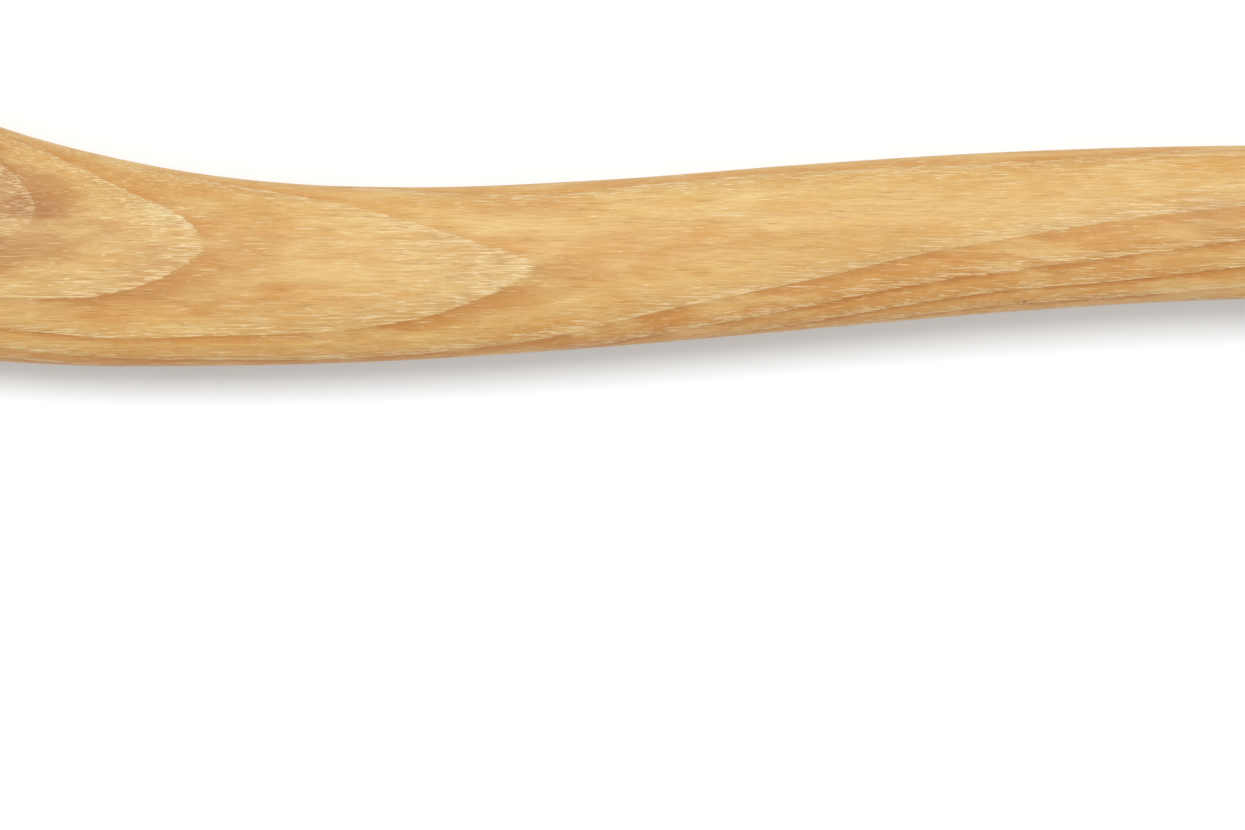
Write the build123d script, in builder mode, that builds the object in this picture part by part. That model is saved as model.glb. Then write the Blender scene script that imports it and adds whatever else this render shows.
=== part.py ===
"""Splitting maul: a forged wedge head with a hammer poll, wedged onto a long curved hickory handle.

The maul lies on its side. +X runs from the foot of the handle to the head, +Y from the poll to the
cutting edge, and +Z up through the thickness. The origin is the centre of the footprint, on the ground.
All sizes are in millimetres.
"""

import math
import os

from build123d import *

os.makedirs("parts", exist_ok=True)

# ------------------------------------------------------------------ driving dimensions
TOTAL_LENGTH = 800.0  # foot of the handle to the wedged end above the head
HEAD_LENGTH = 184.0  # poll face to the middle of the cutting edge
HEAD_HEIGHT = 60.0  # of the head along the handle, at the eye
CHEEK_THICKNESS = 56.0  # across the cheeks, beside the eye
POLL_TO_EYE = 70.0  # poll face to the middle of the eye
TENON_STAND = 3.0  # how far the wedged wood stands above the head

FOOT_X = -TOTAL_LENGTH / 2
TENON_TOP_X = TOTAL_LENGTH / 2
HEAD_TOP_X = TENON_TOP_X - TENON_STAND
HEAD_UNDER_X = HEAD_TOP_X - HEAD_HEIGHT
HEAD_MID_X = (HEAD_TOP_X + HEAD_UNDER_X) / 2
POLL_Y = -HEAD_LENGTH / 2
EDGE_Y = HEAD_LENGTH / 2
EYE_Y = POLL_Y + POLL_TO_EYE
MID_Z = CHEEK_THICKNESS / 2  # height of the plane that halves the maul

# ------------------------------------------------------------------ handle sizes
# Distance from the foot, offset of the middle towards the bit, depth, thickness, and the section's lean
# towards the bit in degrees.
HANDLE_STATIONS = [
    (4.5, 8.4, 60.8, 33.0, 10.0),
    (22.0, 4.5, 56.4, 32.0, 8.5),
    (43.5, -0.2, 50.2, 30.4, 6.0),
    (65.0, -3.5, 45.7, 28.8, 4.0),
    (87.0, -5.5, 41.7, 27.5, 2.0),
    (109.0, -6.4, 39.1, 26.8, 0.0),
    (131.0, -6.3, 37.6, 26.4, 0.0),
    (174.0, -4.1, 36.3, 26.0, 0.0),
    (217.0, -0.6, 35.9, 26.0, 0.0),
    (261.0, 2.7, 34.8, 25.8, 0.0),
    (305.0, 4.7, 33.5, 25.5, 0.0),
    (360.0, 4.9, 32.8, 25.2, 0.0),
    (430.0, 3.6, 33.2, 25.4, 0.0),
    (510.0, 1.8, 35.6, 26.2, 0.0),
    (580.0, 0.8, 40.4, 27.6, 0.0),
    (640.0, 0.4, 47.4, 29.0, 0.0),
    (690.0, 0.0, 55.0, 30.4, 0.0),
    (736.0, 0.0, 60.6, 31.4, 0.0),
]
OVAL_FULLNESS = 2.1  # 2 is an ellipse, more is fuller at the corners
OVAL_POINTS = 20
FOOT_ROUND = 4.5  # radius round the end of the foot

# ------------------------------------------------------------------ eye and tenon sizes
EYE_DEPTH = 58.0  # along the head, at the narrow middle of the eye
EYE_THICKNESS = 29.0
EYE_FULLNESS = 2.3
# Distance above the underside of the head, depth, thickness: narrowest at the middle, spread at the top.
TENON_STATIONS = [
    (-5.0, 58.8, 29.2),
    (0.0, 58.6, 29.0),
    (28.0, 57.0, 28.0),
    (HEAD_HEIGHT, 61.0, 32.0),
    (HEAD_HEIGHT + TENON_STAND, 61.4, 32.4),
]
EYE_LIP = 2.0  # bevel round both mouths of the eye

# ------------------------------------------------------------------ head sizes
# Distance from the poll face, height along the handle, thickness, corner radius, and how far the middle
# drops towards the foot.
HEAD_STATIONS = [
    (0.0, 50.0, 45.0, 7.0, 0.0),
    (18.0, 51.5, 46.5, 7.0, 0.0),
    (36.0, 56.5, 50.5, 7.0, 0.0),
    (54.0, HEAD_HEIGHT, 54.5, 7.5, 0.0),
    (74.0, HEAD_HEIGHT, CHEEK_THICKNESS, 7.5, 0.0),
    (94.0, HEAD_HEIGHT, 53.0, 6.5, 0.0),
    (110.0, HEAD_HEIGHT, 41.5, 5.5, 0.6),
    (128.0, 61.0, 28.5, 4.5, 1.6),
    (148.0, 64.5, 19.0, 3.5, 2.6),
    (168.0, 69.5, 13.0, 2.6, 3.4),
    (190.0, 76.0, 8.0, 1.8, 4.0),
]
POLL_CORNER = 25.5  # middle of the poll to each of its four cut corners, at the striking face
POLL_FLARE = 0.21  # how fast the cut corners run out towards the eye
POLL_CROWN = 2.2  # bevel round the striking face
EDGE_RADIUS = 150.0  # sweep of the cutting edge
EDGE_BLUNT = 0.8  # thickness left at the edge
BEVEL_ANGLE = 22.0  # of each ground bevel to the middle plane
BIT_CORNER = 7.0  # radius at the heel and the toe
BIT_HEIGHT = 73.0  # heel to toe of the bit
BIT_DROP = 4.0  # how far the bit hangs below the middle of the head

# ------------------------------------------------------------------ wedges
WEDGE_LENGTH = 46.0
WEDGE_TOP = 6.6  # thickness at the top
WEDGE_TIP = 1.6
KERF_SPARE = 8.0  # saw cut below the tip of the wedge
RING_LENGTH = 16.0
RING_OUTER = 17.0
RING_WALL = 2.2
RING_EDGE = 0.4  # wall left at the driven end
RING_SINK = 0.6  # how far the ring is driven below the end of the wood

# ------------------------------------------------------------------ guard collar
COLLAR_WALL = 2.0
COLLAR_FROM = 640.0  # distance from the foot to its lower end, at one of the handle's stations
COLLAR_EDGE = 0.7  # bevel round both ends

# ------------------------------------------------------------------ collar screws
SCREW_FROM_END = 14.0  # lower end of the collar to each screw
SCREW_HEAD = 7.4
SCREW_DOME = 1.1
SCREW_SINK = 2.0  # depth of the countersunk cone
SCREW_ROOT = 2.9
SCREW_CREST = 3.9
SCREW_PITCH = 1.6
SCREW_THREADS = 5
SCREW_TIP = 2.5
SLOT_WIDTH = 1.0
SLOT_DEPTH = 1.2


def oval_points(depth, thickness, fullness):
    """Points round a superellipse, depth across and thickness up."""
    found = []
    for i in range(OVAL_POINTS):
        angle = 2 * math.pi * i / OVAL_POINTS
        c, s = math.cos(angle), math.sin(angle)
        across = depth / 2 * math.copysign(abs(c) ** (2 / fullness), c)
        up = thickness / 2 * math.copysign(abs(s) ** (2 / fullness), s)
        found.append((across, up))
    return found


def cross_plane(x, y, lean=0.0):
    """A plane across the handle at x and y, turned towards the bit by lean degrees."""
    c, s = math.cos(math.radians(lean)), math.sin(math.radians(lean))
    return Plane(origin=(x, y, MID_Z), x_dir=(s, c, 0), z_dir=(c, -s, 0))


def along_plane(along, drop=0.0):
    """A plane across the head at a distance from the poll face."""
    return Plane(origin=(HEAD_MID_X - drop, POLL_Y + along, MID_Z), x_dir=(1, 0, 0), z_dir=(0, 1, 0))


def station_at(distance):
    """Offset, depth and thickness of the handle at a distance from the foot, between its stations."""
    for near, far in zip(HANDLE_STATIONS, HANDLE_STATIONS[1:]):
        if near[0] <= distance <= far[0]:
            share = (distance - near[0]) / (far[0] - near[0])
            return [a + share * (b - a) for a, b in zip(near[1:4], far[1:4])]
    raise ValueError(f"the handle has no station at {distance}")


# ------------------------------------------------------------------ handle blank: shank and tenon
with BuildPart() as shank:
    for distance, offset, depth, thickness, lean in HANDLE_STATIONS:
        with BuildSketch(cross_plane(FOOT_X + distance, EYE_Y + offset, lean)):
            with BuildLine():
                Spline(oval_points(depth, thickness, OVAL_FULLNESS), periodic=True)
            make_face()
    loft()
    foot_face = shank.faces().sort_by(Axis.X)[0]
    fillet(foot_face.edges(), radius=FOOT_ROUND)

with BuildPart() as tenon:
    for height, depth, thickness in TENON_STATIONS:
        with BuildSketch(cross_plane(HEAD_UNDER_X + height, EYE_Y)):
            with BuildLine():
                Spline(oval_points(depth, thickness, EYE_FULLNESS), periodic=True)
            make_face()
    loft()

# ------------------------------------------------------------------ forged head
with BuildPart() as head_blank:
    for along, height, thickness, corner, drop in HEAD_STATIONS:
        with BuildSketch(along_plane(along, drop)):
            RectangleRounded(height, thickness, corner)
    loft()

with BuildPart() as corner_cuts:
    for along in (0.0, HEAD_LENGTH):
        with BuildSketch(along_plane(along)):
            side = 2 * (POLL_CORNER + POLL_FLARE * along)
            Rectangle(side, side, rotation=45)
    loft()

# The ground bevels are cones about the centre of the edge's sweep, so that the edge is evenly sharp.
SWEEP_CENTRE = (HEAD_MID_X - BIT_DROP, EDGE_Y - EDGE_RADIUS, MID_Z)
BEVEL_RISE = EDGE_BLUNT / 2 + EDGE_RADIUS * math.tan(math.radians(BEVEL_ANGLE))
with BuildPart() as grind:
    with BuildSketch(Plane(origin=SWEEP_CENTRE, x_dir=(0, 1, 0), z_dir=(1, 0, 0))):
        with BuildLine():
            Polyline(
                (0, -BEVEL_RISE),
                (EDGE_RADIUS, -EDGE_BLUNT / 2),
                (EDGE_RADIUS, EDGE_BLUNT / 2),
                (0, BEVEL_RISE),
                close=True,
            )
        make_face()
    revolve(axis=Axis(SWEEP_CENTRE, (0, 0, 1)))

with BuildPart() as bit_outline:
    with BuildSketch(Plane.XY) as outline:
        with Locations((SWEEP_CENTRE[0], SWEEP_CENTRE[1])):
            Circle(EDGE_RADIUS)
        with Locations((SWEEP_CENTRE[0], 0)):
            Rectangle(BIT_HEIGHT, 2 * HEAD_LENGTH, mode=Mode.INTERSECT)
        fillet(outline.vertices().group_by(Axis.Y)[-1], radius=BIT_CORNER)
    extrude(amount=CHEEK_THICKNESS + 2)

with BuildPart() as head:
    add(head_blank.part)
    for envelope in (corner_cuts, grind, bit_outline):
        add(envelope.part, mode=Mode.INTERSECT)
    poll_face = head.faces().sort_by(Axis.Y)[0]
    chamfer(poll_face.edges(), length=POLL_CROWN)
    add(tenon.part, mode=Mode.SUBTRACT)
    for mouth_x, outward in ((HEAD_UNDER_X, -1), (HEAD_TOP_X, 1)):
        for beyond, grown in ((-EYE_LIP, 0), (EYE_LIP, 4 * EYE_LIP)):
            with BuildSketch(cross_plane(mouth_x + outward * beyond, EYE_Y)):
                with BuildLine():
                    Spline(oval_points(EYE_DEPTH + grown, EYE_THICKNESS + grown, EYE_FULLNESS), periodic=True)
                make_face()
        loft(mode=Mode.SUBTRACT)

# ------------------------------------------------------------------ wooden wedge and its kerf
with BuildPart() as wedge_space:
    with BuildSketch(Plane.XZ.offset(-EYE_Y)):
        with BuildLine():
            Polyline(
                (TENON_TOP_X, MID_Z - WEDGE_TOP / 2),
                (TENON_TOP_X, MID_Z + WEDGE_TOP / 2),
                (TENON_TOP_X - WEDGE_LENGTH, MID_Z + WEDGE_TIP / 2),
                (TENON_TOP_X - WEDGE_LENGTH, MID_Z - WEDGE_TIP / 2),
                close=True,
            )
        make_face()
    extrude(amount=HEAD_LENGTH / 4, both=True)

with BuildPart() as saw_cut:
    with Locations((TENON_TOP_X - WEDGE_LENGTH - KERF_SPARE / 2, EYE_Y, MID_Z)):
        Box(KERF_SPARE, HEAD_LENGTH / 2, WEDGE_TIP)

# ------------------------------------------------------------------ steel ring wedge
RING_TOP_X = TENON_TOP_X - RING_SINK
with BuildPart() as ring_wedge:
    with BuildSketch(Plane(origin=(RING_TOP_X, EYE_Y, MID_Z), x_dir=(0, 1, 0), z_dir=(0, 0, 1))):
        with BuildLine():
            Polyline(
                (RING_OUTER / 2 - RING_WALL, 0),
                (RING_OUTER / 2, 0),
                (RING_OUTER / 2 - RING_WALL / 3, RING_LENGTH),
                (RING_OUTER / 2 - RING_WALL / 3 - RING_EDGE, RING_LENGTH),
                close=True,
            )
        make_face()
    revolve(axis=Axis((0, EYE_Y, MID_Z), (1, 0, 0)))

# The mark that the ring leaves in the wood above it, where it is driven below the end.
with BuildPart() as ring_mark:
    with BuildSketch(cross_plane(RING_TOP_X, EYE_Y)):
        Circle(RING_OUTER / 2)
        Circle(RING_OUTER / 2 - RING_WALL, mode=Mode.SUBTRACT)
    extrude(amount=RING_SINK)

# ------------------------------------------------------------------ guard collar
COLLAR_LOW_X = FOOT_X + COLLAR_FROM
with BuildPart() as collar:
    for distance, offset, depth, thickness, lean in HANDLE_STATIONS:
        if distance >= COLLAR_FROM:
            grown = (depth + 2 * COLLAR_WALL, thickness + 2 * COLLAR_WALL)
            with BuildSketch(cross_plane(FOOT_X + distance, EYE_Y + offset)):
                with BuildLine():
                    Spline(oval_points(*grown, OVAL_FULLNESS), periodic=True)
                make_face()
    loft()
    for end in collar.faces().filter_by(GeomType.PLANE):
        chamfer(end.edges(), length=COLLAR_EDGE)
    add(shank.part, mode=Mode.SUBTRACT)

# ------------------------------------------------------------------ collar screws
SCREW_X = COLLAR_LOW_X + SCREW_FROM_END
screw_offset, screw_depth, screw_thickness = station_at(COLLAR_FROM + SCREW_FROM_END)
SCREW_SEAT = screw_thickness / 2 + COLLAR_WALL  # middle plane to the collar's surface


def screw_outline():
    """Half the section of a wood screw: radius, and height above the collar's surface."""
    points = [(0, SCREW_DOME), (SCREW_HEAD / 5, SCREW_DOME)]
    points.append((SCREW_HEAD / 2, 0))
    for thread in range(SCREW_THREADS):
        crest = -SCREW_SINK - thread * SCREW_PITCH
        points.append((SCREW_CREST / 2, crest))
        points.append((SCREW_ROOT / 2, crest - SCREW_PITCH / 2))
    points.append((0, points[-1][1] - SCREW_TIP))
    return points


with BuildPart() as screws:
    for side in (1, -1):
        seat = Plane(
            origin=(SCREW_X, EYE_Y + screw_offset, MID_Z + side * SCREW_SEAT),
            x_dir=(0, 1, 0),
            z_dir=(side, 0, 0),
        )
        with BuildSketch(seat):
            with BuildLine():
                Polyline(*screw_outline(), close=True)
            make_face()
        revolve(axis=Axis(seat.origin, (0, 0, 1)))
    for side in (1, -1):
        with Locations((SCREW_X, EYE_Y + screw_offset, MID_Z + side * (SCREW_SEAT + SCREW_DOME))):
            Box(SCREW_HEAD, SLOT_WIDTH, 2 * SLOT_DEPTH, mode=Mode.SUBTRACT)

# ------------------------------------------------------------------ finished pieces
with BuildPart() as handle:
    add(shank.part)
    add(tenon.part)
    for space in (wedge_space, saw_cut, ring_wedge, ring_mark, screws):
        add(space.part, mode=Mode.SUBTRACT)

with BuildPart() as wooden_wedge:
    add(wedge_space.part)
    add(tenon.part, mode=Mode.INTERSECT)
    for space in (ring_wedge, ring_mark):
        add(space.part, mode=Mode.SUBTRACT)

with BuildPart() as guard_collar:
    add(collar.part)
    add(screws.part, mode=Mode.SUBTRACT)

PIECES = {
    "maul_head": head,
    "handle": handle,
    "wooden_wedge": wooden_wedge,
    "ring_wedge": ring_wedge,
    "guard_collar": guard_collar,
    "collar_screws": screws,
}
for name, piece in PIECES.items():
    piece.part.label = name
    export_step(piece.part, f"parts/{name}.step")
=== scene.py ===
"""Looks of the splitting maul: finer meshes, hickory, forged and ground steel, floor, light and camera.

Everything is in the row's frame: +X runs from the foot of the handle to the head, +Y from the poll to the
cutting edge and +Z up. Sizes are in millimetres until a mesh is made, which is in metres.
"""

import math

import bmesh
import bpy
import numpy as np
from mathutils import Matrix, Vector, noise


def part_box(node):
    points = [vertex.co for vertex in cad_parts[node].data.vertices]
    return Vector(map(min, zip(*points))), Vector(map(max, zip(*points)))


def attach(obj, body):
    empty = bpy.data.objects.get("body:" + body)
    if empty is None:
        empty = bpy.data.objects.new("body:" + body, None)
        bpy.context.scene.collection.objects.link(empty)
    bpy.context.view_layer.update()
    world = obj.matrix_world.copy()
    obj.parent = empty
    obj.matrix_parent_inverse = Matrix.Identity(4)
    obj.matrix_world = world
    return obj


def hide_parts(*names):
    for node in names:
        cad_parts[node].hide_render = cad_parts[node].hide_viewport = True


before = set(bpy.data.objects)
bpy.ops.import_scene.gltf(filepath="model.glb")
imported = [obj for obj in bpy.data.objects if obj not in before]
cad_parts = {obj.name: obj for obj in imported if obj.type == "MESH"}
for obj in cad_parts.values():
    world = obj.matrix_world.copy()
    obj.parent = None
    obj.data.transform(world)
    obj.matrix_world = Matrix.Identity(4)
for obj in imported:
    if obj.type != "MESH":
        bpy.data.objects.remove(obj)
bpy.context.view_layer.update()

# ------------------------------------------------------------------ where things are, from the frame
MM = 0.001
ROOT = "root"


def span(node, axis):
    """Lowest and highest place of a CAD node along an axis, in millimetres."""
    low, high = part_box(node)
    return low[axis] / MM, high[axis] / MM


FOOT_X, TENON_TOP_X = span("handle", 0)
COLLAR_LOW_X, COLLAR_TOP_X = span("guard_collar", 0)
POLL_Y, EDGE_Y = span("maul_head", 1)
HEAD_LENGTH = EDGE_Y - POLL_Y
EYE_Y = sum(span("ring_wedge", 1)) / 2
MID_Z = sum(span("ring_wedge", 2)) / 2
HEAD_HEIGHT = 60.0  # along the handle, at the eye
TENON_STAND = 3.0  # how far the wedged wood stands above the head
HEAD_TOP_X = TENON_TOP_X - TENON_STAND
HEAD_UNDER_X = HEAD_TOP_X - HEAD_HEIGHT
HEAD_MID_X = (HEAD_TOP_X + HEAD_UNDER_X) / 2
RING_LOW_X, RING_TOP_X = span("ring_wedge", 0)
RING_RADIUS = (span("ring_wedge", 1)[1] - span("ring_wedge", 1)[0]) / 2
SCREW_X, SCREW_Y = (sum(span("collar_screws", axis)) / 2 for axis in (0, 1))
SCREW_TOP_Z = span("collar_screws", 2)[1]

# ------------------------------------------------------------------ sizes shared with the CAD model
# Distance from the foot, offset towards the bit, depth, thickness, lean of the section in degrees.
HANDLE_STATIONS = np.array([
    (4.5, 8.4, 60.8, 33.0, 10.0),
    (22.0, 4.5, 56.4, 32.0, 8.5),
    (43.5, -0.2, 50.2, 30.4, 6.0),
    (65.0, -3.5, 45.7, 28.8, 4.0),
    (87.0, -5.5, 41.7, 27.5, 2.0),
    (109.0, -6.4, 39.1, 26.8, 0.0),
    (131.0, -6.3, 37.6, 26.4, 0.0),
    (174.0, -4.1, 36.3, 26.0, 0.0),
    (217.0, -0.6, 35.9, 26.0, 0.0),
    (261.0, 2.7, 34.8, 25.8, 0.0),
    (305.0, 4.7, 33.5, 25.5, 0.0),
    (360.0, 4.9, 32.8, 25.2, 0.0),
    (430.0, 3.6, 33.2, 25.4, 0.0),
    (510.0, 1.8, 35.6, 26.2, 0.0),
    (580.0, 0.8, 40.4, 27.6, 0.0),
    (640.0, 0.4, 47.4, 29.0, 0.0),
    (690.0, 0.0, 55.0, 30.4, 0.0),
    (736.0, 0.0, 60.6, 31.4, 0.0),
])
HANDLE_FULLNESS = 2.1  # of its sections: 2 is an ellipse, and more is squarer
FOOT_ROUND = 4.5  # radius round the end of the foot
# Distance above the underside of the head, depth, thickness.
TENON_STATIONS = np.array([
    (0.0, 58.6, 29.0),
    (28.0, 57.0, 28.0),
    (60.0, 61.0, 32.0),
    (63.0, 61.4, 32.4),
])
EYE_FULLNESS = 2.3
EYE_LIP = 2.0  # bevel round both mouths of the eye
# Distance from the poll face, height, thickness, corner radius, drop towards the foot.
HEAD_STATIONS = np.array([
    (0.0, 50.0, 45.0, 7.0, 0.0),
    (18.0, 51.5, 46.5, 7.0, 0.0),
    (36.0, 56.5, 50.5, 7.0, 0.0),
    (54.0, 60.0, 54.5, 7.5, 0.0),
    (74.0, 60.0, 56.0, 7.5, 0.0),
    (94.0, 60.0, 53.0, 6.5, 0.0),
    (110.0, 60.0, 41.5, 5.5, 0.6),
    (128.0, 61.0, 28.5, 4.5, 1.6),
    (148.0, 64.5, 19.0, 3.5, 2.6),
    (168.0, 69.5, 13.0, 2.6, 3.4),
    (190.0, 76.0, 8.0, 1.8, 4.0),
])
POLL_CORNER = 25.5  # middle of the poll to each of its four cut corners, at the striking face
POLL_FLARE = 0.21  # how fast the cut corners run out towards the eye
POLL_CROWN = 2.2  # bevel round the striking face
EDGE_RADIUS = 150.0  # sweep of the cutting edge
EDGE_BLUNT = 0.8  # thickness left at the edge
BEVEL_ANGLE = 22.0  # of each ground bevel to the middle plane
BIT_CORNER = 7.0  # radius at the heel and the toe
BIT_HEIGHT = 73.0  # heel to toe of the bit
BIT_DROP = 4.0  # how far the bit hangs towards the foot
WEDGE_LENGTH = 46.0
WEDGE_TOP = 6.6  # thickness at the top
WEDGE_TIP = 1.6
KERF_SPARE = 8.0  # saw cut below the tip of the wedge
RING_WALL = 2.2
RING_EDGE = 0.4  # wall left at the driven end
COLLAR_WALL = 2.0
SCREW_HEAD = 7.4
SCREW_DOME = 1.1
SCREW_SINK = 2.0  # depth of the countersunk cone
SCREW_CREST = 3.9

# ------------------------------------------------------------------ growth rings of the handle's wood
# The rings are sheets that run along the handle. Their count rises by one from each ring to the next. Each
# list pairs a distance from the foot with a value there.
RING_COUNT = [  # on the crest of the upper side
    (0, 4.2), (43.5, 2.97), (52, 2.78), (70, 2.30), (87, 1.955), (117, 1.52), (139, 1.215), (150, 1.06),
    (160, 0.99), (222, 0.66), (236, 0.46), (276, 0.03), (314, -0.4), (360, -1.4), (430, -2.3), (520, -2.2),
    (620, -1.2), (740, 0.3), (800, 0.9),
]
RING_RISE = [  # rings per millimetre of height
    (0, 0.26), (43, 0.25), (102, 0.175), (158, 0.16), (200, 0.155), (286, 0.145), (400, 0.16), (600, 0.20),
    (800, 0.20),
]
RING_LEAN = [  # rings per millimetre towards the bit
    (0, 0.05), (50, 0.05), (70, 0.03), (90, 0.024), (110, 0.014), (130, 0.002), (150, -0.004),
    (160, -0.004), (184, 0.022), (228, 0.06), (286, 0.105), (314, 0.14), (400, 0.06), (500, -0.03),
    (650, -0.08), (800, -0.03),
]
# Rings lost per square millimetre on the side of the poll, and on the side of the bit.
RING_CURL = [(0, 0), (150, 0), (222, 0.0025), (245, 0.003), (262, 0.003), (280, 0.0015), (300, 0), (800, 0)]
RING_TUCK = [(0, 0), (160, 0), (224, 0.002), (300, 0.0024), (360, 0.001), (420, 0), (800, 0)]

# Marks on the upper side of the handle, with their distances from the foot and off the middle line.
PIN_KNOT = (265.7, -15.5)
FAINT_EYE = (171.9, 13.8)
# Places where the wood is browner or paler: where they are, as above, how far they reach along, across and
# down, and by how much they multiply the wood's red, green and blue.
STAINS = [
    ((51.5, 9.0), (9.0, 3.6, 12.0), (0.86, 0.78, 0.74)),
    ((76.0, -10.4), (18.0, 2.6, 12.0), (0.98, 0.89, 0.78)),
    ((84.0, 12.3), (9.0, 3.0, 12.0), (1.06, 1.18, 1.32)),
    ((85.0, -14.8), (28.0, 2.2, 12.0), (1.09, 1.13, 1.13)),
    ((108.0, -4.9), (18.0, 3.0, 12.0), (0.95, 0.85, 0.76)),
    ((149.0, 8.5), (9.0, 3.0, 12.0), (1.05, 1.14, 1.24)),
    ((158.0, 12.5), (17.0, 2.6, 12.0), (0.94, 0.86, 0.85)),
    ((196.0, 10.5), (25.0, 7.0, 12.0), (1.03, 1.11, 1.22)),
    ((228.0, -0.3), (25.0, 4.5, 12.0), (0.93, 0.87, 0.78)),
    ((306.0, 0.3), (10.0, 5.5, 12.0), (0.90, 0.84, 0.84)),
]


# ------------------------------------------------------------------ curves
def smooth(points, at):
    """A smooth curve through (place, value) points, read at some places."""
    places, values = np.array(points, float).T
    steps = np.diff(places)
    slopes = np.diff(values) / steps
    bends = np.empty_like(values)
    bends[0], bends[-1] = slopes[0], slopes[-1]
    bends[1:-1] = (slopes[:-1] * steps[1:] + slopes[1:] * steps[:-1]) / (steps[:-1] + steps[1:])
    at = np.clip(np.asarray(at, float), places[0], places[-1])
    i = np.clip(np.searchsorted(places, at, side="right") - 1, 0, len(steps) - 1)
    t = (at - places[i]) / steps[i]
    start = (2 * t**3 - 3 * t**2 + 1) * values[i] + (t**3 - 2 * t**2 + t) * steps[i] * bends[i]
    end = (3 * t**2 - 2 * t**3) * values[i + 1] + (t**3 - t**2) * steps[i] * bends[i + 1]
    return start + end


def column(stations, index, at):
    """One column of a table of stations, read smoothly at some places."""
    return smooth(stations[:, (0, index)], at)


def sizes(stations, at):
    """Every column of a table of stations but its first, read smoothly at one place."""
    return [float(column(stations, index, at)) for index in range(1, stations.shape[1])]


def step(low, high, value):
    """0 below low, 1 above high, smooth between."""
    t = np.clip((np.asarray(value, float) - low) / (high - low), 0, 1)
    return t * t * (3 - 2 * t)


def circle(count):
    """Cosines and sines of directions all round."""
    turn = 2 * math.pi * np.arange(count) / count
    return np.cos(turn), np.sin(turn)


def oval(depth, thickness, fullness, count):
    """Points round a superellipse, from the bit side over the top: offsets across and up."""
    c, s = circle(count)
    across = depth / 2 * np.sign(c) * np.abs(c) ** (2 / fullness)
    up = thickness / 2 * np.sign(s) * np.abs(s) ** (2 / fullness)
    return across, up


def handle_ring(distance, grow, count):
    """The outline of the handle at a distance from the foot, grown outwards all round."""
    offset, depth, thickness, lean = sizes(HANDLE_STATIONS, distance)
    across, up = oval(depth + 2 * grow, thickness + 2 * grow, HANDLE_FULLNESS, count)
    turn = math.radians(lean)
    x = FOOT_X + distance + across * math.sin(turn)
    y = EYE_Y + offset + across * math.cos(turn)
    return np.stack([x, y, MID_Z + up], axis=1)


def tenon_ring(height, grow, count):
    """The outline of the tenon at a height above the underside of the head, grown outwards all round."""
    depth, thickness = sizes(TENON_STATIONS, height)
    across, up = oval(depth + 2 * grow, thickness + 2 * grow, EYE_FULLNESS, count)
    return np.stack([np.full(count, HEAD_UNDER_X + height), EYE_Y + across, MID_Z + up], axis=1)


def ring_count(points):
    """How many growth rings lie below each point, with the fraction of the next."""
    distance = points[:, 0] - FOOT_X
    middle = EYE_Y + column(HANDLE_STATIONS, 1, distance)
    crest = MID_Z + column(HANDLE_STATIONS, 3, distance) / 2
    side = points[:, 1] - middle
    count = smooth(RING_COUNT, distance) + smooth(RING_RISE, distance) * (points[:, 2] - crest)
    count += smooth(RING_LEAN, distance) * side
    return count - np.where(side < 0, smooth(RING_CURL, distance), smooth(RING_TUCK, distance)) * side**2


def side_share(points):
    """How far each point is from the handle's middle line: -1 at the poll's side, 1 at the bit's."""
    distance = points[:, 0] - FOOT_X
    offset, depth = column(HANDLE_STATIONS, 1, distance), column(HANDLE_STATIONS, 2, distance)
    return (points[:, 1] - EYE_Y - offset) / (depth / 2)


def on_handle(distance, side):
    """A point of the handle's upper side, at a distance from the foot and off its middle line."""
    offset, depth, thickness, _ = sizes(HANDLE_STATIONS, distance)
    rise = (1 - abs(2 * side / depth) ** HANDLE_FULLNESS) ** (1 / HANDLE_FULLNESS)
    return FOOT_X + distance, EYE_Y + offset + side, MID_Z + thickness / 2 * rise


# ------------------------------------------------------------------ meshes
SHARP = math.radians(38)  # an edge turned more than this stays crisp
OVERSHOOT = 1.0  # of a cutter past the surface that it cuts


def make_object(name, points, faces):
    """A new piece of the scene, from points in millimetres and the faces between them."""
    mesh = bpy.data.meshes.new(name)
    mesh.from_pydata((points * MM).tolist(), [], faces)
    mesh.validate()
    tidy = bmesh.new()
    tidy.from_mesh(mesh)
    bmesh.ops.recalc_face_normals(tidy, faces=tidy.faces)
    tidy.to_mesh(mesh)
    tidy.free()
    mesh.shade_smooth()
    piece = bpy.data.objects.new(name, mesh)
    bpy.context.scene.collection.objects.link(piece)
    return piece


def walls(rings, closed=False):
    """Four-sided faces between neighbouring rings of points."""
    rows, count = rings.shape[:2]
    faces = []
    for i in range(rows if closed else rows - 1):
        here, there = i * count, (i + 1) % rows * count
        for j in range(count):
            after = (j + 1) % count
            faces.append((here + j, here + after, there + after, there + j))
    return faces


def shrinking(ring, steps):
    """Rings that close a flat end, from its outline in to nearly its middle."""
    middle = ring.mean(axis=0)
    shares = 1 - np.arange(1, steps) / steps
    return [middle + (ring - middle) * share for share in shares]


def closed_tube(name, rings, end_steps=3):
    """A closed solid over rings of points, with flat ends that have some steps from rim to middle."""
    rows = np.array([*reversed(shrinking(rings[0], end_steps)), *rings, *shrinking(rings[-1], end_steps)])
    count = rows.shape[1]
    points = np.concatenate([rows.reshape(-1, 3), rows[0].mean(axis=0)[None], rows[-1].mean(axis=0)[None]])
    faces = walls(rows)
    first, last = len(points) - 2, len(points) - 1
    base = (len(rows) - 1) * count
    faces += [((j + 1) % count, j, first) for j in range(count)]
    faces += [(base + j, base + (j + 1) % count, last) for j in range(count)]
    return make_object(name, points, faces)


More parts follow.
